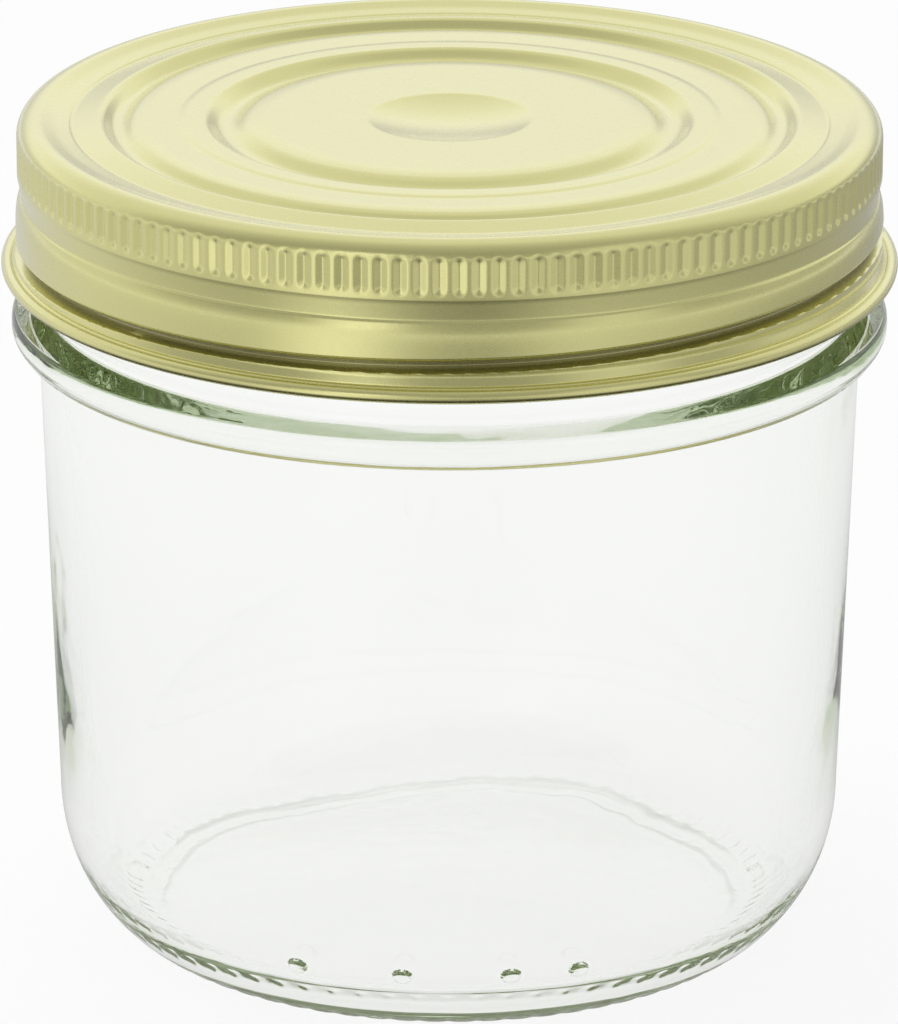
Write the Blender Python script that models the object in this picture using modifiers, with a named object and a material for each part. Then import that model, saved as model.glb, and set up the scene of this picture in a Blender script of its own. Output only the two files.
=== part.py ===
"""A half-litre preserving jar with a two-piece closure, built as its separate pieces.

The jar is one glass moulding. A tinplate disc with a ring of sealing compound lies on its rim,
and a pressed screw cap with a rolled thread holds the disc down. Everything is in metres, with
+Z up and the origin under the middle of the foot. The front of the jar faces -Y.
"""

import math

import bmesh
import bpy
from mathutils import Matrix

# Shared by all pieces
TURN_STEPS = 72
SEAT_GAP = 0.0003
THREAD_LEAD = 0.00508
FRONT = -math.pi / 2
WELD = 0.000001
CUT_OVERRUN = 0.002
CREASE_ANGLE = math.radians(30)

# Glass jar: the finish, which is the part that the cap covers
RIM_HEIGHT = 0.09385
FINISH_RADIUS = 0.0468
FINISH_THICKNESS = 0.0035
RIM_ROUND = 0.0008
THREAD_DEPTH = 0.00105
THREAD_BAR = 0.0011
THREAD_DROP = 0.0097
THREAD_TURNS_BELOW = 0.45
THREAD_TURNS_ABOVE = 1.05
THREAD_RUN_OUT_SHARE = 0.07

# Glass jar: the bead under the cap, the wall and the base
BEAD_REACH = 0.0030
BEAD_DROP = 0.0218
BEAD_CLIMB = 0.0034
BEAD_FALL = 0.0025
WALL_INSET = 0.0003
WALL_DRAFT = 0.0014
WALL_THICKNESS = 0.0030
HEEL_HEIGHT = 0.0163
HEEL_REACH = 0.0141
HEEL_OVERSHOOT = 0.0016
FOOT_WIDTH = 0.0026
PUSH_UP_HEIGHT = 0.0022
FLOOR_HEIGHT = 0.0046
FLOOR_CROWN = 0.0020
DOME_SHARES = (0.8, 0.55, 0.3)
INNER_HEEL_REACH = 0.0095
INNER_HEEL_RISE = 0.0115

# Glass jar: the four raised mould dots low on the front
DOT_HEIGHT = 0.00845
DOT_RADIUS = 0.00095
DOT_SINK_SHARE = 0.45
DOT_ANGLES = (-22.7, -6.7, 9.3, 19.6)

# Sealing disc and its ring of compound
COMPOUND_THICKNESS = 0.00055
COMPOUND_OVERLAP = 0.0003
DISC_SHEET = 0.0003
DISC_PLAY = 0.00095
DISC_STEPS = 48
DISC_SLOPE_WIDTH = 0.0016
DISC_SLOPE_CLEARANCE = 0.0004
DISC_BEAD_SHARE = 0.416
DISC_BEAD_WIDTH = 0.0024
DISC_BEAD_DEPTH = 0.0006

# Screw cap: the top panel, with the radii of its rings as shares of the mouth
CAP_SHEET = 0.0003
CREST_RISE = 0.00025
PANEL_SINK = 0.0005
DIMPLE_SHARE = 0.217
DIMPLE_DEPTH = 0.0011
INNER_GROOVE_SHARES = (0.524, 0.640)
INNER_GROOVE_DEPTH = 0.0010
OUTER_GROOVE_SHARES = (0.818, 0.905)
OUTER_GROOVE_DEPTH = 0.0008
GROOVE_FLOOR_SHARES = (0.36, 0.72)
STEP_INSET = 0.0017
STEP_WIDTH = 0.0004
STEP_RISE = 0.00015
DIMPLE_RING_SHARE = 0.6

# Screw cap: the skirt, as reaches beyond the waist and as drops below the crest
THREAD_PLAY = 0.00045
SHOULDER_WIDTH = 0.00235
SHOULDER_DROP = 0.0020
GRIP_REACH = 0.00045
GRIP_DROP = 0.0064
WAIST_DROP = 0.0087
BULGE_REACH = 0.0006
BULGE_TOP_DROP = 0.0100
BULGE_FOOT_DROP = 0.0124
LEDGE_REACH = 0.0005
LEDGE_DROP = 0.0141
LEDGE_FLARE = 0.00035
HEM_REACH = 0.0024
HEM_ROLL = 0.00078
HEM_DROP = 0.01695

# Screw cap: the grip flutes and the rolled thread
FLUTE_COUNT = 144
FLUTE_DEPTH = 0.0003
FLUTE_WIDTH = 0.0017
FLUTE_LENGTH = 0.0048
FLUTE_DROP = 0.0036
FLUTE_END_SHARE = 0.3
RIB_CLEARANCE = 0.0004
RIB_DROP = 0.0022
GROOVE_BAR = 0.00115
RIB_TURNS_BELOW = 0.264
RIB_TURNS_ABOVE = 0.80
RIB_RUN_OUT_SHARE = 0.07
RIB_RUN_OUT = 0.0016

HELIX_STEPS_PER_TURN = 40
BAR_RESOLUTION = 2


# Radii, from the finish out
mouth_radius = FINISH_RADIUS - FINISH_THICKNESS
wall_radius = FINISH_RADIUS - WALL_INSET
bead_radius = FINISH_RADIUS + BEAD_REACH
waist_radius = FINISH_RADIUS + THREAD_DEPTH + THREAD_PLAY + CAP_SHEET
grip_radius = waist_radius + GRIP_REACH
bulge_radius = waist_radius + BULGE_REACH
ledge_radius = waist_radius + LEDGE_REACH
hem_radius = waist_radius + HEM_REACH
grip_inner_radius = grip_radius - FLUTE_DEPTH - CAP_SHEET
crest_radius = grip_radius - SHOULDER_WIDTH
step_radius = crest_radius - STEP_INSET
disc_radius = grip_inner_radius - DISC_PLAY

# Heights, stacked up from the glass rim to the cap
bead_height = RIM_HEIGHT - BEAD_DROP
compound_base = RIM_HEIGHT + SEAT_GAP
compound_top = compound_base + COMPOUND_THICKNESS
flange_base = compound_top + SEAT_GAP
flange_top = flange_base + DISC_SHEET
apron_height = flange_top + SEAT_GAP + CAP_SHEET
crest_height = apron_height + CREST_RISE
panel_height = crest_height - PANEL_SINK
thread_front_height = RIM_HEIGHT - THREAD_DROP
rib_front_height = thread_front_height - RIB_DROP


def clear_scene():
    for old in list(bpy.data.objects):
        bpy.data.objects.remove(old, do_unlink=True)


def new_collection(name, hidden=False):
    found = bpy.data.collections.new(name)
    found.hide_render = hidden
    bpy.context.scene.collection.children.link(found)
    return found


def material(name, colour, roughness, metallic=0.0, transmission=0.0):
    made = bpy.data.materials.new(name)
    made.use_nodes = True
    shader = made.node_tree.nodes["Principled BSDF"]
    shader.inputs["Base Color"].default_value = (*colour, 1.0)
    shader.inputs["Roughness"].default_value = roughness
    shader.inputs["Metallic"].default_value = metallic
    shader.inputs["Transmission Weight"].default_value = transmission
    made.diffuse_color = (*colour, 1.0)
    return made


def arc(centre, across, upright, start, end, steps):
    """Points (radius, height) on an elliptic arc, with angles in degrees: 0 is outward, 90 is up."""
    points = []
    for step in range(steps + 1):
        angle = math.radians(start + (end - start) * step / steps)
        points.append(
            (centre[0] + across * math.cos(angle), centre[1] + upright * math.sin(angle))
        )
    return points


def add_object(name, data, collection):
    made = bpy.data.objects.new(name, data)
    collection.objects.link(made)
    return made


def turned(name, outline, collection, steps=TURN_STEPS, closed=False):
    """A solid of revolution: an outline of (radius, height) points under a Screw modifier."""
    mesh = bpy.data.meshes.new(name)
    edges = [(i, i + 1) for i in range(len(outline) - 1)]
    if closed:
        edges.append((len(outline) - 1, 0))
    mesh.from_pydata([(radius, 0, height) for radius, height in outline], edges, [])
    made = add_object(name, mesh, collection)
    screw = made.modifiers.new("turn", "SCREW")
    screw.axis = "Z"
    screw.angle = math.tau
    screw.steps = steps
    screw.render_steps = steps
    screw.use_merge_vertices = True
    screw.merge_threshold = WELD
    screw.use_smooth_shade = True
    return made


def evaluated_mesh(source, name):
    bpy.context.view_layer.update()
    graph = bpy.context.evaluated_depsgraph_get()
    return bpy.data.meshes.new_from_object(source.evaluated_get(graph), depsgraph=graph)


def weld(mesh):
    shape = bmesh.new()
    shape.from_mesh(mesh)
    bmesh.ops.remove_doubles(shape, verts=shape.verts, dist=WELD)
    bmesh.ops.recalc_face_normals(shape, faces=shape.faces)
    shape.to_mesh(mesh)
    shape.free()


def hide(helper):
    helper.hide_render = True
    helper.display_type = "WIRE"


def boolean(target, operation, other):
    modifier = target.modifiers.new(operation.lower(), "BOOLEAN")
    modifier.operation = operation
    modifier.object = other


def finished(name, source, collection, surface):
    """The source with its modifiers carried out, smooth but for its creases."""
    mesh = evaluated_mesh(source, name)
    bpy.data.objects.remove(source, do_unlink=True)
    mesh.name = name
    mesh.shade_smooth()
    mesh.set_sharp_from_angle(angle=CREASE_ANGLE)
    mesh.materials.clear()
    mesh.materials.append(surface)
    return add_object(name, mesh, collection)


def helix_bar(name, bar, centre, run_out, run_out_share, below, above, front_height, collection):
    """A round bar on a right-hand helix that passes the front at front_height.

    centre is the helix's radius. Over the first and last run_out_share of its length the bar
    moves by run_out, which is outwards where it is positive, so that its ends come to nothing.
    """
    steps = round(HELIX_STEPS_PER_TURN * (below + above))
    curve = bpy.data.curves.new(name, "CURVE")
    curve.dimensions = "3D"
    curve.bevel_depth = bar
    curve.bevel_resolution = BAR_RESOLUTION
    curve.use_fill_caps = True
    spline = curve.splines.new("POLY")
    spline.points.add(steps)
    for step in range(steps + 1):
        share = step / steps
        turns = share * (below + above) - below
        to_end = min(share, 1 - share) / run_out_share
        drift = 1 - math.sin(min(to_end, 1) * math.pi / 2)
        radius = centre + run_out * drift
        angle = FRONT + turns * math.tau
        height = front_height + turns * THREAD_LEAD
        place = (radius * math.cos(angle), radius * math.sin(angle), height)
        spline.points[step].co = (*place, 1)
    wire = add_object(name, curve, collection)
    mesh = evaluated_mesh(wire, name)
    bpy.data.objects.remove(wire, do_unlink=True)
    weld(mesh)
    made = add_object(name, mesh, collection)
    hide(made)
    return made


# Glass jar
wall_foot_radius = wall_radius - WALL_DRAFT
wall_top_height = bead_height - BEAD_FALL
heel_drop = HEEL_HEIGHT + HEEL_OVERSHOOT
heel_centre_radius = wall_foot_radius - HEEL_REACH
heel_end_angle = math.degrees(math.asin(HEEL_HEIGHT / heel_drop))
foot_radius = heel_centre_radius + HEEL_REACH * math.cos(math.radians(heel_end_angle))
foot_inner_radius = foot_radius - FOOT_WIDTH


def dome(radius, rise):
    """A shallow dome over this radius, from just inside its edge to its middle."""
    shares = DOME_SHARES + (0,)
    return [(radius * share, rise * (1 - share * share)) for share in shares]


def jar_inside():
    """From the middle of the floor out, up the wall and to the rim's inner edge."""
    floor_radius = wall_foot_radius - WALL_THICKNESS - INNER_HEEL_REACH
    heel_centre = (floor_radius, FLOOR_HEIGHT + INNER_HEEL_RISE)
    crown = dome(floor_radius, FLOOR_CROWN)
    floor = [(radius, FLOOR_HEIGHT + height) for radius, height in reversed(crown)]
    heel = arc(heel_centre, INNER_HEEL_REACH, INNER_HEEL_RISE, -90, 0, 6)
    wall = [
        (wall_radius - WALL_THICKNESS, wall_top_height),
        (mouth_radius, bead_height + BEAD_CLIMB),
    ]
    return floor + heel + wall


def jar_rim():
    return [
        (mouth_radius, RIM_HEIGHT - RIM_ROUND),
        (mouth_radius + RIM_ROUND, RIM_HEIGHT),
        (FINISH_RADIUS - RIM_ROUND, RIM_HEIGHT),
        (FINISH_RADIUS, RIM_HEIGHT - RIM_ROUND),
    ]


def jar_outside():
    """From the finish down over the bead, the wall and the heel to the foot."""
    bead_depth = bead_radius - FINISH_RADIUS
    upper = arc((FINISH_RADIUS, bead_height), bead_depth, BEAD_CLIMB, 90, 0, 3)
    lower = arc((wall_radius, bead_height), bead_radius - wall_radius, BEAD_FALL, 0, -90, 3)
    heel_centre = (heel_centre_radius, HEEL_HEIGHT)
    heel = arc(heel_centre, HEEL_REACH, heel_drop, 0, -heel_end_angle, 6)
    return upper + lower[1:] + heel[:-1] + [(foot_radius, 0)]


def jar_underside():
    """From the foot ring's inner edge up the push-up to its middle."""
    return [(foot_inner_radius, 0)] + dome(foot_inner_radius, PUSH_UP_HEIGHT)


def heel_radius_at(height):
    sunk = (HEEL_HEIGHT - height) / heel_drop
    return heel_centre_radius + HEEL_REACH * math.sqrt(1 - sunk * sunk)


def mould_dots(collection):
    """The four small domes on the heel, as one cutter mesh that is joined to the glass."""
    dots = bmesh.new()
    radius = heel_radius_at(DOT_HEIGHT) - DOT_RADIUS * DOT_SINK_SHARE
    for degrees in DOT_ANGLES:
        place = Matrix.Rotation(FRONT + math.radians(degrees), 4, "Z")
        place = place @ Matrix.Translation((radius, 0, DOT_HEIGHT))
        bmesh.ops.create_uvsphere(
            dots, u_segments=10, v_segments=6, radius=DOT_RADIUS, matrix=place
        )
    mesh = bpy.data.meshes.new("mould_dots")
    dots.to_mesh(mesh)
    dots.free()
    made = add_object("mould_dots", mesh, collection)
    hide(made)
    return made


def make_glass_jar(parts, helpers, surface):
    outline = jar_inside() + jar_rim() + jar_outside() + jar_underside()
    body = turned("glass_body", outline, helpers)
    thread = helix_bar(
        "glass_thread",
        THREAD_BAR,
        FINISH_RADIUS + THREAD_DEPTH - THREAD_BAR,
        -(THREAD_DEPTH + SEAT_GAP),
        THREAD_RUN_OUT_SHARE,
        THREAD_TURNS_BELOW,
        THREAD_TURNS_ABOVE,
        thread_front_height,
        helpers,
    )
    boolean(body, "UNION", thread)
    boolean(body, "UNION", mould_dots(helpers))
    return finished("glass_jar", body, parts, surface)


# Sealing disc and sealing compound
def disc_outline():
    """The disc's upper side from its middle out, then its lower side back."""
    dimple_floor = panel_height - DIMPLE_DEPTH - CAP_SHEET
    groove_floor = panel_height - INNER_GROOVE_DEPTH - CAP_SHEET
    sunk_top = min(dimple_floor, groove_floor) - SEAT_GAP
    slope_end = mouth_radius - DISC_SLOPE_CLEARANCE + DISC_SLOPE_WIDTH
    bead_middle = mouth_radius * DISC_BEAD_SHARE
    bead = (bead_middle - DISC_BEAD_WIDTH / 2, bead_middle, bead_middle + DISC_BEAD_WIDTH / 2)
    upper = [
        (0, sunk_top),
        (bead[0], sunk_top),
        (bead[1], sunk_top - DISC_BEAD_DEPTH),
        (bead[2], sunk_top),
        (slope_end - DISC_SLOPE_WIDTH - (flange_top - sunk_top), sunk_top),
        (slope_end - DISC_SLOPE_WIDTH, flange_top),
        (disc_radius, flange_top),
    ]
    lower = [(radius, height - DISC_SHEET) for radius, height in reversed(upper)]
    return upper + lower


def make_sealing_disc(parts, helpers, surface):
    disc = turned("disc_body", disc_outline(), helpers, steps=DISC_STEPS)
    return finished("sealing_disc", disc, parts, surface)


def make_sealing_compound(parts, helpers, surface):
    inner = mouth_radius + RIM_ROUND - COMPOUND_OVERLAP
    outer = FINISH_RADIUS + COMPOUND_OVERLAP
    outline = [
        (inner, compound_top),
        (outer, compound_top),
        (outer, compound_base),
        (inner, compound_base),
    ]
    ring = turned("compound_body", outline, helpers, steps=DISC_STEPS, closed=True)
    return finished("sealing_compound", ring, parts, surface)


# Screw cap
def groove(shares, depth, height):
    """A pressed ring groove: down a gentle inner flank, across the floor and up the outer one."""
    radius = mouth_radius * shares[0]
    width = mouth_radius * (shares[1] - shares[0])
    return [
        (radius, height),
        (radius + width * GROOVE_FLOOR_SHARES[0], height - depth),
        (radius + width * GROOVE_FLOOR_SHARES[1], height - depth),
        (radius + width, height),
    ]


def cap_top():
    """The upper face of the panel, from the dimple's middle out to the foot of the rim."""
    ring = DIMPLE_RING_SHARE
    dimple_radius = mouth_radius * DIMPLE_SHARE
    dimple = [
        (0, panel_height - DIMPLE_DEPTH),
        (dimple_radius * ring, panel_height - DIMPLE_DEPTH * (1 - ring * ring)),
        (dimple_radius, panel_height),
    ]
    inner = groove(INNER_GROOVE_SHARES, INNER_GROOVE_DEPTH, panel_height)
    outer = groove(OUTER_GROOVE_SHARES, OUTER_GROOVE_DEPTH, panel_height)
    return dimple + inner + outer + [(step_radius, apron_height)]


def cap_skirt():
    """The outside from the step on the panel's edge, over the crest and down to the hem's root."""
    step = [(step_radius + STEP_WIDTH, apron_height + STEP_RISE)]
    shoulder_centre = (crest_radius, crest_height - SHOULDER_DROP)
    shoulder = arc(shoulder_centre, SHOULDER_WIDTH, SHOULDER_DROP, 90, 0, 3)
    side = [
        (grip_radius, crest_height - GRIP_DROP),
        (waist_radius, crest_height - WAIST_DROP),
        (bulge_radius, crest_height - BULGE_TOP_DROP),
        (bulge_radius, crest_height - BULGE_FOOT_DROP),
        (ledge_radius, crest_height - LEDGE_DROP),
        (ledge_radius + LEDGE_FLARE, crest_height - HEM_DROP + HEM_ROLL),
    ]
    return step + shoulder + side


def cap_hem():
    """The rolled hem, from its root round the outside to its inner edge."""
    centre = (hem_radius - HEM_ROLL, crest_height - HEM_DROP)
    return arc(centre, HEM_ROLL, HEM_ROLL, 80, -140, 6)


def cap_inside():
    """The inside of the skirt, from the hem up to the crest, one sheet behind the outside."""
    inner_ledge = ledge_radius - CAP_SHEET
    shoulder_centre = (crest_radius, crest_height - SHOULDER_DROP)
    shoulder_width = grip_inner_radius - crest_radius
    shoulder = arc(shoulder_centre, shoulder_width, SHOULDER_DROP - CAP_SHEET, 0, 90, 2)
    return [
        (inner_ledge + LEDGE_FLARE, crest_height - HEM_DROP),
        (inner_ledge, crest_height - LEDGE_DROP),
        (bulge_radius - CAP_SHEET, crest_height - BULGE_TOP_DROP),
        (waist_radius - CAP_SHEET, crest_height - WAIST_DROP),
        (grip_inner_radius, crest_height - GRIP_DROP),
    ] + shoulder


def cap_underside():
    return [(radius, height - CAP_SHEET) for radius, height in reversed(cap_top())]


def flute_cutters(helpers):
    """One four-sided spindle for each flute, all round the grip band."""
    end = FLUTE_LENGTH / 2
    shoulder = end * (1 - FLUTE_END_SHARE)
    outline = [(0, end), (1, shoulder), (1, -shoulder), (0, -end)]
    spindle = turned("flute_spindle", outline, helpers, steps=4)
    unit = evaluated_mesh(spindle, "flute_unit")
    bpy.data.objects.remove(spindle, do_unlink=True)
    weld(unit)
    height = crest_height - FLUTE_DROP
    size = Matrix.Diagonal((FLUTE_DEPTH, FLUTE_WIDTH / 2, 1, 1))
    flutes = bmesh.new()
    for index in range(FLUTE_COUNT):
        angle = (index + 0.5) * math.tau / FLUTE_COUNT
        place = Matrix.Rotation(angle, 4, "Z") @ Matrix.Translation((grip_radius, 0, height))
        start = len(flutes.verts)
        flutes.from_mesh(unit)
        flutes.verts.ensure_lookup_table()
        bmesh.ops.transform(flutes, matrix=place @ size, verts=flutes.verts[start:])
    mesh = bpy.data.meshes.new("flute_cutters")
    flutes.to_mesh(mesh)
    flutes.free()
    made = add_object("flute_cutters", mesh, helpers)
    hide(made)
    return made


def rolled_thread(name, bar, helpers):
    """A bar along the cap's thread. Its centre leaves the sheet at both ends."""
    groove_floor = FINISH_RADIUS + RIB_CLEARANCE + CAP_SHEET
    return helix_bar(
        name,
        bar,
        groove_floor + GROOVE_BAR,
        RIB_RUN_OUT,
        RIB_RUN_OUT_SHARE,
        RIB_TURNS_BELOW,
        RIB_TURNS_ABOVE,
        rib_front_height,
        helpers,
    )


def sheet_core(helpers):
    """A solid out to the middle of the skirt's sheet, which trims the rib's outer side."""
    half = CAP_SHEET / 2
    skirt = [(radius - half, height) for radius, height in cap_skirt()[1:]]
    top = [(0, skirt[0][1])]
    bottom = [(skirt[-1][0], skirt[-1][1] - CUT_OVERRUN), (0, skirt[-1][1] - CUT_OVERRUN)]
    core = turned("sheet_core", top + skirt + bottom, helpers)
    hide(core)
    return core


def make_screw_cap(parts, helpers, surface):
    outline = cap_top() + cap_skirt() + cap_hem() + cap_inside() + cap_underside()
    body = turned("cap_body", outline, helpers)
    rib = rolled_thread("cap_rib", GROOVE_BAR + CAP_SHEET, helpers)
    boolean(rib, "INTERSECT", sheet_core(helpers))
    boolean(body, "UNION", rib)
    boolean(body, "DIFFERENCE", rolled_thread("cap_groove", GROOVE_BAR, helpers))
    boolean(body, "DIFFERENCE", flute_cutters(helpers))
    return finished("screw_cap", body, parts, surface)


clear_scene()
parts = new_collection("preserving_jar")
helpers = new_collection("cutters", hidden=True)
glass = material("clear_glass", (0.90, 0.95, 0.90), 0.03, transmission=1.0)
gold_tin = material("pale_gold_tinplate", (0.72, 0.66, 0.38), 0.32, metallic=1.0)
silver_tin = material("white_lacquered_tinplate", (0.80, 0.79, 0.74), 0.35, metallic=0.6)
compound = material("sealing_compound", (0.80, 0.74, 0.62), 0.7)
make_glass_jar(parts, helpers, glass)
make_sealing_disc(parts, helpers, silver_tin)
make_sealing_compound(parts, helpers, compound)
make_screw_cap(parts, helpers, gold_tin)
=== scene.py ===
import math

import bpy
import numpy as np
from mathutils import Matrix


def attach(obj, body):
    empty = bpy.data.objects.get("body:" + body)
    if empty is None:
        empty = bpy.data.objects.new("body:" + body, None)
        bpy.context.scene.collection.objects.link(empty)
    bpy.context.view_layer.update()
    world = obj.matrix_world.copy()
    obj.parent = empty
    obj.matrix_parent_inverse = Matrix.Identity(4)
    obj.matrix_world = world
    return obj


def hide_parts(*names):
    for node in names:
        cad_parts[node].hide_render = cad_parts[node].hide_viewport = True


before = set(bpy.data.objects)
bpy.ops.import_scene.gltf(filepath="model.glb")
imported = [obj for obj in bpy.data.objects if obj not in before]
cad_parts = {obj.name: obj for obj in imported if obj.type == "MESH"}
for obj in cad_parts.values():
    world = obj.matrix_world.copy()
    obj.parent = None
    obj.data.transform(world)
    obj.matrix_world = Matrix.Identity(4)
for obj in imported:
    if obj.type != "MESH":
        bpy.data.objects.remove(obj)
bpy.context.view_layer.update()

# Glass jar.
# One piece of clear soda glass, formed in a split mould under a neck ring. The neck ring leaves
# the bead and the fine parting line below it, and the base plate leaves the ridged foot ring.
RIM_HEIGHT, FINISH_RADIUS, MOUTH_RADIUS = 0.09385, 0.0468, 0.0433
RIM_ROUNDING, RIM_LEAD_IN, FINISH_FOOT = 0.0008, 0.00005, 0.0795
NECK_RADIUS, BEAD_RADIUS, PARTING_LINE = 0.0462, 0.0499, 0.0704
WALL_TOP_RADIUS, WALL_FOOT_RADIUS, WALL_THICKNESS = 0.0468, 0.0451, 0.0030
INNER_SHOULDER_RADIUS, INNER_SHOULDER_HEIGHT, INNER_SWELL = 0.0439, 0.0735, 0.00013
HEEL_HEIGHT, HEEL_REACH, HEEL_DROP = 0.0163, 0.0141, 0.0179
FOOT_WIDTH, FOOT_SOFTNESS, PUSH_UP = 0.0026, 0.0005, 0.0022
FLOOR_HEIGHT, FLOOR_CROWN = 0.0027, 0.0022
INNER_HEEL_REACH, INNER_HEEL_DROP = 0.0095, 0.0115
GLASS_THREAD = dict(front=0.08415, lead=0.00508, below=0.45, above=1.05, run_out=0.07)
THREAD_HEIGHT, THREAD_HALF = 0.00105, 0.0014
FOOT_RIDGES, FOOT_RIDGE_DEPTH, RIDGED_FROM, RIDGED_TO = 72, 0.00009, 0.0362, 0.0390
HEEL_RINGS_DOWN_TO, RIDGED_RINGS_FROM = 0.002, 0.0394
PUSH_UP_CURVE, FOOT_LET_DOWN = 1.35, 0.00006
MOULD_DOTS = dict(height=0.00845, radius=0.00112, rise=0.0008, degrees=(-22.7, -6.7, 9.3, 19.6))
DOT_WALL_RADIUS, DOT_FLATTENING, DOT_BAND = 0.0434, 0.88, 0.0015
COLUMNS, HEEL_COLUMNS, RIDGE_COLUMNS = 360, 720, 1440
FRONT = -math.pi / 2


def rounded_path(corners, step=0.0008, fillet_steps=5):
    """Points along (radius, height) corners. A third value in a corner is its rounding."""
    corners = [(*corner, 0.0)[:3] for corner in corners]
    path = [np.array(corners[0][:2])]
    for before, corner, after in zip(corners, corners[1:], corners[2:]):
        here, last, following = (np.array(c[:2]) for c in (corner, before, after))
        back, ahead = last - here, following - here
        reach = min(corner[2], 0.49 * np.linalg.norm(back), 0.49 * np.linalg.norm(ahead))
        if reach == 0:
            path.append(here)
            continue
        start = here + back / np.linalg.norm(back) * reach
        end = here + ahead / np.linalg.norm(ahead) * reach
        for share in np.linspace(0, 1, fillet_steps + 1):
            path.append((1 - share) ** 2 * start + 2 * share * (1 - share) * here + share**2 * end)
    path.append(np.array(corners[-1][:2]))
    filled = [path[0]]
    for point in path[1:]:
        pieces = max(1, math.ceil(np.linalg.norm(point - filled[-1]) / step - 0.001))
        start = filled[-1]
        filled += [start + (point - start) * i / pieces for i in range(1, pieces + 1)]
    return filled


def arc(centre, across, upright, start, end, steps):
    """Points on an elliptic arc, with angles in degrees: 0 is outward and 90 is up."""
    angles = np.radians(np.linspace(start, end, steps + 1))
    return [
        np.array((centre[0] + across * math.cos(a), centre[1] + upright * math.sin(a)))
        for a in angles
    ]


def ring(radius, height, columns, shift=None):
    """One ring of points. shift(angles, height) gives how far each point moves outward."""
    if radius == 0:
        return np.array([(0.0, 0.0, height)])
    angles = np.arange(columns) * math.tau / columns
    radii = radius + (shift(angles, height) if shift else 0) + 0 * angles
    return np.stack([radii * np.cos(angles), radii * np.sin(angles), height + 0 * angles], axis=1)


def band_faces(low, low_count, high, high_count):
    """Faces between two rings of points. One ring may have a whole number of times the other's."""
    if low_count == high_count:
        return [
            (low + i, high + i, high + (i + 1) % low_count, low + (i + 1) % low_count)
            for i in range(low_count)
        ]
    if low_count > high_count:
        return [face[::-1] for face in band_faces(high, high_count, low, low_count)]
    if low_count == 1:
        return [(low, high + i, high + (i + 1) % high_count) for i in range(high_count)]
    ratio = high_count // low_count
    faces = []
    for i in range(low_count):
        here, following = low + i, low + (i + 1) % low_count
        fine = [high + (i * ratio + j) % high_count for j in range(ratio + 1)]
        middle = ratio // 2
        faces += [(here, fine[j], fine[j + 1]) for j in range(middle)]
        faces.append((here, fine[middle], following))
        faces += [(following, fine[j], fine[j + 1]) for j in range(middle, ratio)]
    return faces


def body_of_rings(name, rings, surface, crease=math.radians(50)):
    """A mesh that joins the rings in turn, smooth but for its creases."""
    starts = np.cumsum([0] + [len(r) for r in rings])
    faces = []
    for index in range(len(rings) - 1):
        faces += band_faces(
            int(starts[index]), len(rings[index]), int(starts[index + 1]), len(rings[index + 1])
        )
    mesh = bpy.data.meshes.new(name)
    mesh.from_pydata(np.concatenate(rings).tolist(), [], faces)
    mesh.validate()
    mesh.shade_smooth()
    mesh.set_sharp_from_angle(angle=crease)
    mesh.materials.append(surface)
    made = bpy.data.objects.new(name, mesh)
    bpy.context.scene.collection.objects.link(made)
    return made


def thread_offset(angles, height, thread):
    """How far above the thread's middle line each angle is, and how full the thread is there."""
    offset = np.full(angles.shape, 1.0)
    fullness = np.zeros(angles.shape)
    length = thread["below"] + thread["above"]
    for whole in (-1, 0, 1, 2):
        turns = (angles - FRONT) / math.tau + whole
        along = (turns + thread["below"]) / length
        inside = (along > 0) & (along < 1)
        gap = height - (thread["front"] + turns * thread["lead"])
        to_end = np.clip(np.minimum(along, 1 - along) / thread["run_out"], 0, 1)
        nearer = inside & (np.abs(gap) < np.abs(offset))
        offset = np.where(nearer, gap, offset)
        fullness = np.where(nearer, np.sin(to_end * math.pi / 2), fullness)
    return offset, fullness


def glass_thread_rise(angles, height):
    """The glass thread: a rounded ridge with faded ends."""
    offset, fullness = thread_offset(angles, height, GLASS_THREAD)
    across = np.clip(np.abs(offset) / THREAD_HALF, 0, 1)
    return THREAD_HEIGHT * fullness * np.cos(across * math.pi / 2) ** 1.3


def mould_dot_rise(angles, height):
    """The mould dots: four small domes low on the front."""
    rise = np.zeros(angles.shape)
    for degrees in MOULD_DOTS["degrees"]:
        around = (angles - FRONT - math.radians(degrees) + math.pi) % math.tau - math.pi
        away = np.hypot(around * DOT_WALL_RADIUS, (height - MOULD_DOTS["height"]) / DOT_FLATTENING)
        inside = np.clip(1 - (away / MOULD_DOTS["radius"]) ** 2, 0, 1)
        rise = np.maximum(rise, MOULD_DOTS["rise"] * np.sqrt(inside))
    return rise


def inner_swell(angles, height):
    """The inside of a blown wall isn't quite even: slow swells of up to 0.3 mm."""
    fade = np.clip((height - 0.016) / 0.012, 0, 1) * np.clip((0.072 - height) / 0.01, 0, 1)
    wave = np.sin(3 * angles + 1.1 + 60 * height) + 0.7 * np.sin(5 * angles - 0.6 - 95 * height)
    return INNER_SWELL * fade * (wave + 0.6 * np.sin(2 * angles + 2.3 + 170 * height))


def add_node(tree, kind, **inputs):
    """A node with its sockets set: a value is written in, and another node's socket is linked."""
    made = tree.nodes.new(kind)
    for name, value in inputs.items():
        key = int(name[1:]) if name[1:].isdigit() else name.replace("_", " ")
        if isinstance(value, bpy.types.NodeSocket):
            tree.links.new(value, made.inputs[key])
        else:
            made.inputs[key].default_value = value
    return made


def new_surface(name, **sockets):
    """A material with its shader set, its tree and the object's own coordinates in metres."""
    made = bpy.data.materials.new(name)
    made.use_nodes = True
    tree = made.node_tree
    place = tree.nodes.new("ShaderNodeTexCoord").outputs["Object"]
    shader = tree.nodes["Principled BSDF"]
    for socket, value in sockets.items():
        shader.inputs[socket.replace("_", " ")].default_value = value
    return made, tree, shader, place


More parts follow.
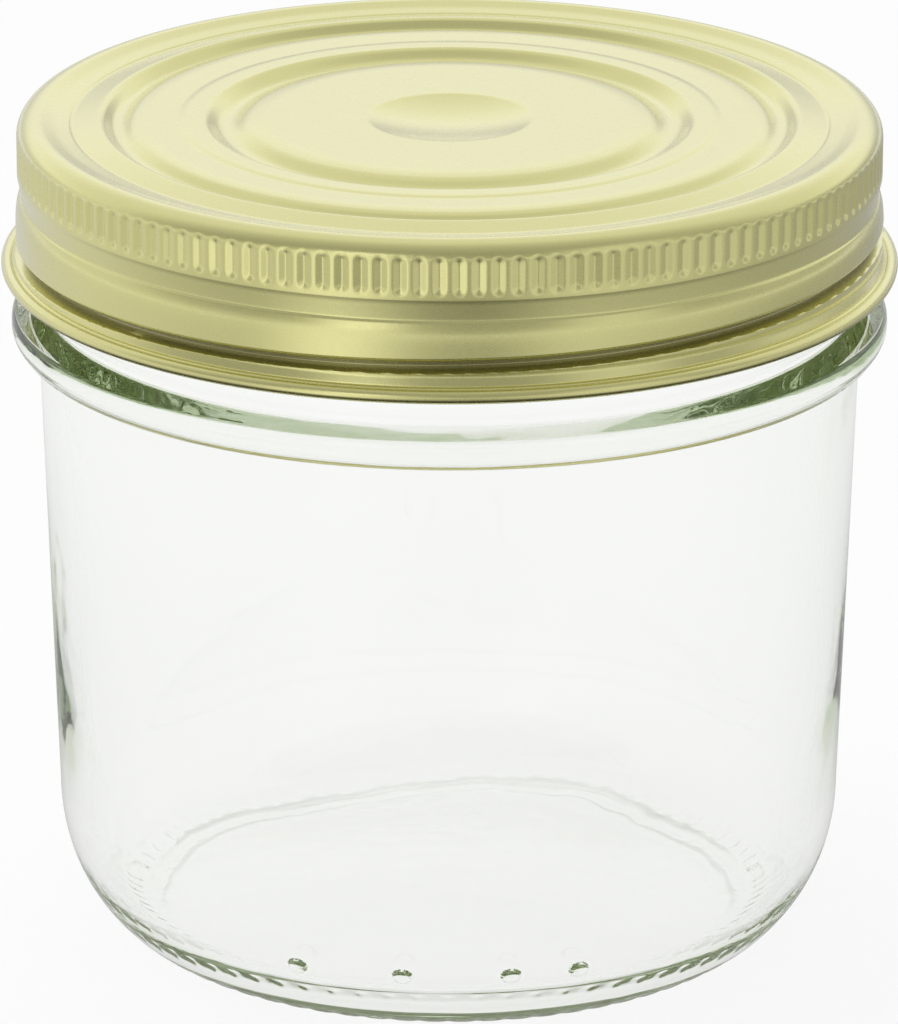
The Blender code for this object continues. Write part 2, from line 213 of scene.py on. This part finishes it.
def roughen(tree, shader, height, strength, distance):
    """A fine relief in the surface, from a node's height."""
    bump = add_node(tree, "ShaderNodeBump", Height=height, Strength=strength, Distance=distance)
    tree.links.new(bump.outputs["Normal"], shader.inputs["Normal"])


clear_glass, tree, shader, place = new_surface(
    "clear_glass", Base_Color=(1, 1, 1, 1), Roughness=0.0, IOR=1.5, Transmission_Weight=1.0
)
waves = add_node(tree, "ShaderNodeTexNoise", Vector=place, Scale=70.0, Detail=2.0)
roughen(tree, shader, waves.outputs["Fac"], 0.12, 0.001)
tint = add_node(tree, "ShaderNodeVolumeAbsorption", Color=(0.28, 0.44, 0.05, 1), Density=10.0)
tree.links.new(tint.outputs["Volume"], tree.nodes["Material Output"].inputs["Volume"])

heel_middle = WALL_FOOT_RADIUS - HEEL_REACH
inner_foot = WALL_FOOT_RADIUS - WALL_THICKNESS
foot_radius = heel_middle + HEEL_REACH * math.sqrt(1 - (HEEL_HEIGHT / HEEL_DROP) ** 2)
wall_foot_angle = math.degrees(math.asin(HEEL_HEIGHT / HEEL_DROP))
glass = [ring(0, FLOOR_HEIGHT + FLOOR_CROWN, 1)]
for radius, columns in ((0.002, 45), (0.006, 90), (0.012, 180), (0.020, 360), (0.028, 360)):
    share = radius / (inner_foot - INNER_HEEL_REACH)
    glass.append(ring(radius, FLOOR_HEIGHT + FLOOR_CROWN * (1 - share * share), columns))
heel_centre = (inner_foot - INNER_HEEL_REACH, FLOOR_HEIGHT + INNER_HEEL_DROP)
inside = arc(heel_centre, INNER_HEEL_REACH, INNER_HEEL_DROP, -90, 0, 24)
inside += rounded_path(
    [
        inside[-1],
        (INNER_SHOULDER_RADIUS, INNER_SHOULDER_HEIGHT, 0.004),
        (MOUTH_RADIUS, RIM_HEIGHT - RIM_ROUNDING - RIM_LEAD_IN),
    ],
    step=0.0016,
)[1:]
inner_rim = (MOUTH_RADIUS + RIM_ROUNDING, RIM_HEIGHT - RIM_ROUNDING)
inside += arc(inner_rim, RIM_ROUNDING, RIM_ROUNDING, 180, 90, 6)
glass += [ring(r, z, COLUMNS, inner_swell) for r, z in inside]
outer_rim = (FINISH_RADIUS - RIM_ROUNDING, RIM_HEIGHT - RIM_ROUNDING)
finish = arc(outer_rim, RIM_ROUNDING, RIM_ROUNDING, 90, 0, 6)
finish += rounded_path([finish[-1], (FINISH_RADIUS, FINISH_FOOT)], step=0.00028)[1:]
glass += [ring(r, z, COLUMNS, glass_thread_rise) for r, z in finish]
bead = rounded_path(
    [
        (FINISH_RADIUS, FINISH_FOOT),
        (NECK_RADIUS, FINISH_FOOT - 0.0008, 0.0004),
        (NECK_RADIUS, 0.0745, 0.0005),
        (BEAD_RADIUS - 0.0003, 0.0737, 0.0008),
        (BEAD_RADIUS, 0.0729, 0.0007),
        (BEAD_RADIUS + 0.00005, 0.0715, 0.0010),
        (BEAD_RADIUS - 0.0008, PARTING_LINE, 0.0002),
        (WALL_TOP_RADIUS + 0.0001, PARTING_LINE - 0.0006, 0.0004),
        (WALL_TOP_RADIUS - 0.00003, 0.0675),
    ],
    step=0.0003,
    fillet_steps=8,
)
glass += [ring(r, z, COLUMNS) for r, z in bead[1:]]
wall = rounded_path([bead[-1], (WALL_FOOT_RADIUS, HEEL_HEIGHT)], step=0.0016)
glass += [ring(r, z, COLUMNS) for r, z in wall[1:]]


def base_ring(radius, height):
    """A ring under the heel, dented along the heel's slope between the ridges of the base plate."""
    downward = (HEEL_HEIGHT - height) / HEEL_DROP**2
    outward = (radius - heel_middle) / HEEL_REACH**2
    slope = math.atan2(downward, outward)
    middle = (RIDGED_FROM + RIDGED_TO) / 2
    fade = max(0.0, 1 - (abs(radius - middle) / (RIDGED_TO - middle)) ** 4)
    angles = np.arange(RIDGE_COLUMNS) * math.tau / RIDGE_COLUMNS
    dent = FOOT_RIDGE_DEPTH * fade * (0.5 + 0.5 * np.cos(angles * FOOT_RIDGES)) ** 2
    radii = radius - dent * math.cos(slope)
    heights = height + dent * math.sin(slope)
    return np.stack([radii * np.cos(angles), radii * np.sin(angles), heights], axis=1)


heel = arc((heel_middle, HEEL_HEIGHT), HEEL_REACH, HEEL_DROP, 0, -wall_foot_angle, 132)
for row, (r, z) in enumerate(heel[1:-1]):
    if z < HEEL_RINGS_DOWN_TO:
        break
    if abs(z - MOULD_DOTS["height"]) < DOT_BAND:
        glass.append(ring(r, z, RIDGE_COLUMNS, mould_dot_rise))
    elif row % 3 == 0:
        glass.append(ring(r, z, HEEL_COLUMNS))
dome_radius = foot_radius - FOOT_WIDTH
for radius in np.linspace(RIDGED_RINGS_FROM, dome_radius, 26):
    drop = HEEL_DROP * math.sqrt(1 - ((radius - heel_middle) / HEEL_REACH) ** 2)
    rise = (HEEL_HEIGHT - drop + math.hypot(HEEL_HEIGHT - drop, FOOT_SOFTNESS)) / 2
    glass.append(base_ring(radius, max(0.0, rise - FOOT_LET_DOWN)))
for share in np.linspace(0.985, 0.03, 44):
    rise = PUSH_UP * (1 - share**2) ** PUSH_UP_CURVE
    glass.append(ring(dome_radius * share, rise, COLUMNS if share > 0.3 else COLUMNS // 4))
glass.append(ring(0, PUSH_UP, 1))
moulded_jar = body_of_rings("moulded_jar", glass, clear_glass)
# The table is lit through the glass, so only the cap casts the shadow.
moulded_jar.visible_shadow = False
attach(moulded_jar, "jar")
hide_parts("glass_jar")

# Sealing disc and its ring of compound.
# A pressed tinplate disc under a pale food lacquer, with a ring of soft compound flowed in under
# its flange. Both lie on the glass rim, and the cap holds them down.
def mixed_tints(tree, share, first, second):
    """A colour between two tints, each a colour or another node's socket."""
    made = add_node(tree, "ShaderNodeMix", Factor=share)
    made.data_type = "RGBA"
    for socket, tint in ((made.inputs[6], first), (made.inputs[7], second)):
        if isinstance(tint, bpy.types.NodeSocket):
            tree.links.new(tint, socket)
        else:
            socket.default_value = tint
    return made.outputs[2]


food_lacquer, tree, shader, place = new_surface(
    "food_lacquer", Metallic=0.25, Roughness=0.34, Coat_Weight=0.4, Coat_Roughness=0.2
)
mottle = add_node(tree, "ShaderNodeTexNoise", Vector=place, Scale=260.0, Detail=4.0)
shade = mixed_tints(tree, mottle.outputs["Fac"], (0.78, 0.76, 0.70, 1), (0.84, 0.82, 0.77, 1))
tree.links.new(shade, shader.inputs["Base Color"])
peel = add_node(tree, "ShaderNodeTexNoise", Vector=place, Scale=2200.0, Detail=2.0)
roughen(tree, shader, peel.outputs["Fac"], 0.15, 0.00004)
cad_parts["sealing_disc"].material_slots[0].material = food_lacquer

soft_compound, tree, shader, place = new_surface("soft_compound", Roughness=0.62)
flow = add_node(tree, "ShaderNodeTexNoise", Vector=place, Scale=500.0, Detail=5.0)
shade = mixed_tints(tree, flow.outputs["Fac"], (0.62, 0.55, 0.43, 1), (0.74, 0.67, 0.55, 1))
tree.links.new(shade, shader.inputs["Base Color"])
roughen(tree, shader, flow.outputs["Fac"], 0.3, 0.0001)
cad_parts["sealing_compound"].material_slots[0].material = soft_compound

# Screw cap.
# One stamping of thin tinplate under a satin pale gold lacquer: a panel with a dimple and two
# pressed ring grooves, a fluted grip band, a rolled thread and a rolled hem.
PANEL_HEIGHT, CREST_HEIGHT, CREST_RADIUS = 0.09565, 0.09615, 0.0467
GRIP_RADIUS, WAIST_RADIUS, SHEET = 0.04905, 0.0486, 0.0003
DIMPLE_RADIUS, DIMPLE_DEPTH = 0.0094, 0.0011
SHOULDER_WIDTH, SHOULDER_DROP = 0.00235, 0.0020
HEM_RADIUS, HEM_HEIGHT, HEM_ROLL = 0.0510, 0.0792, 0.00078
FLUTES, FLUTE_DEPTH, FLUTE_MIDDLE = 144, 0.00028, 0.09246
FLUTE_LENGTH, FLUTE_WIDTH = 0.00445, 0.76
GRIP_TOP, GRIP_FOOT = 0.09415, 0.08975
CAP_THREAD = dict(front=0.0820, lead=0.00508, below=0.264, above=0.60, run_out=0.09)
CAP_THREAD_DEPTH, CAP_THREAD_UPPER, CAP_THREAD_LOWER = 0.0016, 0.0013, 0.0005
FLUTED_COLUMNS, CAP_COLUMNS, LINING_COLUMNS = 2304, 576, 288
# Where the painted shade in the rolled thread's groove lies, by radius and by height.
SHADED_GROOVE_RADII, SHADED_GROOVE_HEIGHTS = (0.0482, 0.0490), (0.0855, 0.0865)


def flute_dent(angles, height):
    """The flutes are pressed in from outside: straight troughs with round ends."""
    phase = (angles * FLUTES / math.tau) % 1 - 0.5
    half_width = FLUTE_WIDTH / 2 * math.tau * GRIP_RADIUS / FLUTES
    past = max(0.0, abs(height - FLUTE_MIDDLE) - FLUTE_LENGTH / 2 + half_width) / half_width
    across = np.hypot(phase / (FLUTE_WIDTH / 2), past)
    return -FLUTE_DEPTH * (1.04 - np.sqrt(across**2 + 0.0016)).clip(0)


def cap_thread_dent(angles, height):
    """The rolled thread: a soft upper side and a crisp lower lip."""
    offset, fullness = thread_offset(angles, height, CAP_THREAD)
    upper = np.clip(offset / CAP_THREAD_UPPER, 0, 1)
    lower = np.clip(-offset / CAP_THREAD_LOWER, 0, 1)
    section = np.where(offset > 0, np.cos(upper * math.pi / 2) ** 2.2, np.cos(lower * math.pi / 2))
    return -CAP_THREAD_DEPTH * fullness * section


def maths(tree, operation, first, second=0.0):
    """The result of one sum, as a socket."""
    made = add_node(tree, "ShaderNodeMath", _0=first, _1=second)
    made.operation = operation
    return made.outputs["Value"]


def eased(tree, value, start, end, low, high):
    """A value that passes softly from low to high between start and end."""
    made = add_node(
        tree,
        "ShaderNodeMapRange",
        Value=value,
        From_Min=start,
        From_Max=end,
        To_Min=low,
        To_Max=high,
    )
    made.interpolation_type = "SMOOTHSTEP"
    return made.outputs["Result"]


pale_gold, tree, shader, place = new_surface(
    "pale_gold_lacquer", Metallic=1.0, Coat_Weight=1.0, Coat_Roughness=0.18, Coat_IOR=1.8
)
drift = add_node(tree, "ShaderNodeTexNoise", Vector=place, Scale=26.0, Detail=2.0)
shade = mixed_tints(tree, drift.outputs["Fac"], (0.80, 0.765, 0.30, 1), (0.77, 0.74, 0.29, 1))

# Painted shade: the base colour is darkened to a dull olive in the rolled thread's groove, where
# the recess lies in shade.
spots = add_node(tree, "ShaderNodeSeparateXYZ", Vector=place)
flat = add_node(tree, "ShaderNodeVectorMath", _0=place, _1=(1.0, 1.0, 0.0))
flat.operation = "MULTIPLY"
reach = add_node(tree, "ShaderNodeVectorMath", _0=flat.outputs["Vector"])
reach.operation = "LENGTH"
in_roll = eased(tree, reach.outputs["Value"], *SHADED_GROOVE_RADII, 1.0, 0.0)
low_down = eased(tree, spots.outputs["Z"], *SHADED_GROOVE_HEIGHTS, 1.0, 0.0)
painted_groove_shade = maths(tree, "MULTIPLY", in_roll, low_down)
# Painted shade: the groove's colour is mixed towards this dark olive tint.
lacquer = mixed_tints(tree, painted_groove_shade, shade, (0.42, 0.40, 0.19, 1))
tree.links.new(lacquer, shader.inputs["Base Color"])

grain = add_node(tree, "ShaderNodeTexNoise", Vector=place, Scale=1500.0, Detail=3.0)
rough = add_node(
    tree, "ShaderNodeMapRange", Value=grain.outputs["Fac"], To_Min=0.24, To_Max=0.32
)
tree.links.new(rough.outputs["Result"], shader.inputs["Roughness"])
roughen(tree, shader, grain.outputs["Fac"], 0.12, 0.00003)

dimple = [
    (r, PANEL_HEIGHT - DIMPLE_DEPTH * (1 - (r / DIMPLE_RADIUS) ** 2))
    for r in np.linspace(0, DIMPLE_RADIUS, 12)
]
panel = rounded_path(
    dimple[:-1]
    + [
        (DIMPLE_RADIUS, PANEL_HEIGHT, 0.0003),
        (0.0212, PANEL_HEIGHT, 0.0012),
        (0.0230, PANEL_HEIGHT - 0.00022, 0.0006),
        (0.0245, PANEL_HEIGHT - 0.00110, 0.0007),
        (0.0260, PANEL_HEIGHT - 0.00110, 0.0006),
        (0.0273, PANEL_HEIGHT - 0.00010, 0.0003),
        (0.0277, PANEL_HEIGHT + 0.00010, 0.0003),
        (0.0300, PANEL_HEIGHT + 0.00010, 0.0005),
        (0.0308, PANEL_HEIGHT - 0.00005, 0.0002),
        (0.0345, PANEL_HEIGHT, 0.0010),
        (0.0359, PANEL_HEIGHT - 0.00015, 0.0005),
        (0.0370, PANEL_HEIGHT - 0.00090, 0.0005),
        (0.0381, PANEL_HEIGHT - 0.00090, 0.0004),
        (0.0391, PANEL_HEIGHT + 0.00010, 0.0002),
        (0.0396, PANEL_HEIGHT + 0.00030, 0.0003),
        (0.0426, PANEL_HEIGHT - 0.00030, 0.0003),
        (0.0429, PANEL_HEIGHT - 0.00030, 0.0001),
        (0.0431, PANEL_HEIGHT - 0.00018, 0.0002),
        (0.0448, PANEL_HEIGHT + 0.00005, 0.0004),
        (0.0463, CREST_HEIGHT - 0.00003, 0.0004),
        (CREST_RADIUS, CREST_HEIGHT, 0.0004),
    ],
    step=0.0005,
)


def panel_ring(radius, height):
    """A ring of the panel, with fewer columns towards its middle."""
    if radius < 0.0001:
        return ring(0, height, 1)
    steps = ((0.0015, 36), (0.0040, 72), (0.0095, 144), (1.0, LINING_COLUMNS))
    return ring(radius, height, next(columns for reach, columns in steps if radius < reach))


cap = [panel_ring(r, z) for r, z in panel]
shoulder_middle = (CREST_RADIUS, CREST_HEIGHT - SHOULDER_DROP)
shoulder = arc(shoulder_middle, SHOULDER_WIDTH, SHOULDER_DROP, 84, 0, 16)
grip = rounded_path([(GRIP_RADIUS, GRIP_TOP), (GRIP_RADIUS, GRIP_FOOT)], step=0.00025)
for r, z in shoulder + grip[1:]:
    fluted = z < FLUTE_MIDDLE + FLUTE_LENGTH / 2 + 0.0002
    cap.append(ring(r, z, FLUTED_COLUMNS, flute_dent) if fluted else ring(r, z, CAP_COLUMNS))
skirt = rounded_path(
    [
        (GRIP_RADIUS, GRIP_FOOT),
        (0.04895, CREST_HEIGHT - 0.00680, 0.0002),
        (0.04875, CREST_HEIGHT - 0.00800, 0.0006),
        (0.04862, CREST_HEIGHT - 0.00885, 0.0001),
        (0.04880, CREST_HEIGHT - 0.00900, 0.0001),
        (0.04915, CREST_HEIGHT - 0.01000, 0.0006),
        (0.04928, CREST_HEIGHT - 0.01120, 0.0008),
        (0.04930, CREST_HEIGHT - 0.01240, 0.0010),
        (0.04930, CREST_HEIGHT - 0.01445, 0.0002),
        (0.04915, CREST_HEIGHT - 0.01505, 0.0002),
        (0.04940, CREST_HEIGHT - 0.01560, 0.0002),
        (0.04960, CREST_HEIGHT - 0.01605, 0.0002),
        (0.04950, CREST_HEIGHT - 0.01630),
    ],
    step=0.00006,
)
skirt = skirt[:1] + [
    point
    for index, point in enumerate(skirt[1:])
    if index % 3 == 0 or abs(point[1] - CAP_THREAD["front"]) < 0.0018
]
cap += [ring(r, z, CAP_COLUMNS, cap_thread_dent) for r, z in skirt[1:]]
hem_middle = (HEM_RADIUS - HEM_ROLL, HEM_HEIGHT)
hem = arc(hem_middle, HEM_ROLL, HEM_ROLL, 130, -140, 20)
cap += [ring(r, z, CAP_COLUMNS) for r, z in hem]
lining = rounded_path(
    [
        (0.04940, CREST_HEIGHT - 0.01710),
        (0.04900, CREST_HEIGHT - 0.01440, 0.0005),
        (0.04892, CREST_HEIGHT - 0.01000, 0.0005),
        (WAIST_RADIUS - SHEET, CREST_HEIGHT - 0.00870, 0.0005),
        (0.04845, CREST_HEIGHT - 0.00640, 0.0005),
        (0.04845, CREST_HEIGHT - 0.00210, 0.0010),
        (0.0467, CREST_HEIGHT - 0.00050, 0.0006),
    ],
    step=0.0004,
)
cap += [ring(r, z, LINING_COLUMNS, cap_thread_dent) for r, z in lining]
cap += [panel_ring(r, z - SHEET) for r, z in reversed(panel[:-4])]
stamped_cap = body_of_rings("stamped_cap", cap, pale_gold)
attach(stamped_cap, "cap")
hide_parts("screw_cap")

# Table under the jar.
# A wide pale sheet that isn't part of the jar. It shows white behind and through the glass and
# keeps the soft shadow. A grey card on it, which only reflections see, shades the metal.
MIRRORED_SHARE = 0.5
TABLE_REACH, TABLE_GLOW = 6.0, 0.88
CARD_REACH, CARD_DARK_TO, CARD_BRIGHT_FROM = 0.9, 0.10, 0.20


def flat_sheet(name, reach, height, surface):
    """A flat square that isn't part of the jar."""
    mesh = bpy.data.meshes.new(name)
    corners = [(-reach, -reach), (reach, -reach), (reach, reach), (-reach, reach)]
    mesh.from_pydata([(x, y, height) for x, y in corners], [], [(0, 1, 2, 3)])
    mesh.materials.append(surface)
    made = bpy.data.objects.new(name, mesh)
    bpy.context.scene.collection.objects.link(made)
    return made


def blend_surface(tree, share, first, second):
    """Show the first shader, and the second by its share."""
    blend = add_node(tree, "ShaderNodeMixShader", Fac=share, _1=first, _2=second)
    tree.links.new(blend.outputs["Shader"], tree.nodes["Material Output"].inputs["Surface"])


pale_table, tree, shader, place = new_surface(
    "pale_table", Base_Color=(0.9, 0.9, 0.9, 1), Roughness=1.0, Specular_IOR_Level=0.0
)
glow = add_node(tree, "ShaderNodeEmission", Color=(1, 1, 1, 1), Strength=1.0)
blend_surface(tree, TABLE_GLOW, shader.outputs["BSDF"], glow.outputs["Emission"])
flat_sheet("pale_table", TABLE_REACH, -0.0001, pale_table)


def ramp_of(tree, share, stops):
    """A grey ramp through (place, value) stops, with places from 0 to 1."""
    made = add_node(tree, "ShaderNodeValToRGB", Fac=share)
    while len(made.color_ramp.elements) < len(stops):
        made.color_ramp.elements.new(0.5)
    for element, (position, value) in zip(made.color_ramp.elements, stops):
        element.position = position
        element.color = (value, value, value, 1)
    return made.outputs["Color"]


def low_room(tree, across, back):
    """How bright the room is round the table, by degrees from its front to the right."""
    turned = maths(tree, "ARCTAN2", across, maths(tree, "MULTIPLY", back, -1.0))
    share = maths(tree, "MULTIPLY_ADD", turned, 1 / math.tau)
    share.node.inputs[2].default_value = 0.5
    levels = {
        -180: 0.60, -100: 0.72, -48: 0.58, -27: 1.12, -6: 0.45,
        8: 0.34, 30: 0.70, 90: 0.43, 140: 0.40, 180: 0.60,
    }
    stops = [(degrees / 360 + 0.5, value) for degrees, value in levels.items()]
    return ramp_of(tree, share, stops)


def seen_by_glass(tree):
    """1 for a ray through glass, and a part of 1 for one that a polished surface reflects."""
    rays = tree.nodes.new("ShaderNodeLightPath").outputs
    mirrored = maths(tree, "MULTIPLY", rays["Is Singular Ray"], MIRRORED_SHARE)
    return maths(tree, "MAXIMUM", rays["Is Transmission Ray"], mirrored)


grey_card, tree, shader, place = new_surface("grey_card")
spots = add_node(tree, "ShaderNodeSeparateXYZ", Vector=place)
away = add_node(tree, "ShaderNodeVectorMath", _0=place)
away.operation = "LENGTH"
near_jar = eased(tree, away.outputs["Value"], CARD_DARK_TO, CARD_BRIGHT_FROM, 0.03, 1.0)
level = maths(tree, "MULTIPLY", low_room(tree, spots.outputs["X"], spots.outputs["Y"]), near_jar)
glow = add_node(tree, "ShaderNodeEmission", Color=(1, 1, 1, 1), Strength=level)
clear = tree.nodes.new("ShaderNodeBsdfTransparent")
blend_surface(tree, seen_by_glass(tree), glow.outputs["Emission"], clear.outputs["BSDF"])
card_sheet = flat_sheet("grey_card", CARD_REACH, -0.00005, grey_card)
card_sheet.visible_camera = False
card_sheet.visible_transmission = False
card_sheet.visible_diffuse = False
card_sheet.visible_shadow = False

# Studio light.
# A wide white room: bright behind the jar, softer above, darker on the camera's side, where two
# soft windows stand. One soft lamp overhead gives the shadow.
world = bpy.data.worlds.new("studio")
bpy.context.scene.world = world
world.use_nodes = True
tree = world.node_tree
direction = tree.nodes.new("ShaderNodeTexCoord").outputs["Generated"]
axes = add_node(tree, "ShaderNodeSeparateXYZ", Vector=direction)

lift = maths(tree, "ARCTAN2", axes.outputs["Z"], axes.outputs["Y"])
share = maths(tree, "DIVIDE", lift, math.pi)
back_half = [(0.0, 1.0), (0.11, 1.08), (0.25, 0.80), (0.38, 0.82)]
front_half = [(0.5, 0.58), (0.64, 0.45), (0.80, 0.34), (1.0, 0.34)]
ceiling = ramp_of(tree, share, back_half + front_half)
rise = eased(tree, axes.outputs["Z"], 0.10, 0.30, 0.0, 1.0)
room = low_room(tree, axes.outputs["X"], axes.outputs["Y"])
studio = add_node(tree, "ShaderNodeMix", Factor=rise, A=room, B=ceiling).outputs[0]
for azimuth, elevation, width, strength in ((-23.6, 20, 14, 1.0), (45, 22, 20, 0.4)):
    aim = (
        math.sin(math.radians(azimuth)) * math.cos(math.radians(elevation)),
        -math.cos(math.radians(azimuth)) * math.cos(math.radians(elevation)),
        math.sin(math.radians(elevation)),
    )
    dot = add_node(tree, "ShaderNodeVectorMath", _0=direction, _1=aim)
    dot.operation = "DOT_PRODUCT"
    window = eased(tree, dot.outputs["Value"], math.cos(math.radians(width)), 1.0, 0.0, strength)
    studio = maths(tree, "ADD", studio, window)
seen_through = add_node(tree, "ShaderNodeMix", Factor=0.85, A=studio, B=1.0).outputs[0]
seen = add_node(tree, "ShaderNodeMix", Factor=seen_by_glass(tree), A=studio, B=seen_through)
by_camera = tree.nodes.new("ShaderNodeLightPath").outputs["Is Camera Ray"]
blend = add_node(tree, "ShaderNodeMix", Factor=by_camera, A=seen.outputs[0], B=1.0)
background = tree.nodes["Background"]
tree.links.new(blend.outputs[0], background.inputs["Color"])
background.inputs["Strength"].default_value = 1.0

# Light passes many walls of glass before it leaves the jar.
cycles = bpy.context.scene.cycles
cycles.max_bounces = cycles.glossy_bounces = cycles.transmission_bounces = 64

lamp_data = bpy.data.lights.new("overhead_softbox", "AREA")
lamp_data.shape = "DISK"
lamp_data.size = 0.9
lamp_data.energy = 6.0
lamp = bpy.data.objects.new("overhead_softbox", lamp_data)
lamp.location = (-0.35, 0.25, 1.3)
lamp.rotation_euler = (-math.radians(11), math.radians(-15), 0)
lamp.visible_glossy = False
lamp.visible_transmission = False
bpy.context.scene.collection.objects.link(lamp)
bpy.context.scene.view_settings.view_transform = "Standard"

# Camera.
# A long lens from the front, a little above the cap, as in the photograph.
camera_data = bpy.data.cameras.new("camera")
camera_data.lens = 283.29
camera_data.sensor_width = 36.0
camera_data.clip_start, camera_data.clip_end = 0.05, 50.0
camera = bpy.data.objects.new("camera", camera_data)
camera.location = (0.0, -0.8743, 0.35965)
camera.rotation_euler = tuple(math.radians(a) for a in (70.39, -0.113, 0.0403))
bpy.context.scene.collection.objects.link(camera)
bpy.context.scene.camera = camera
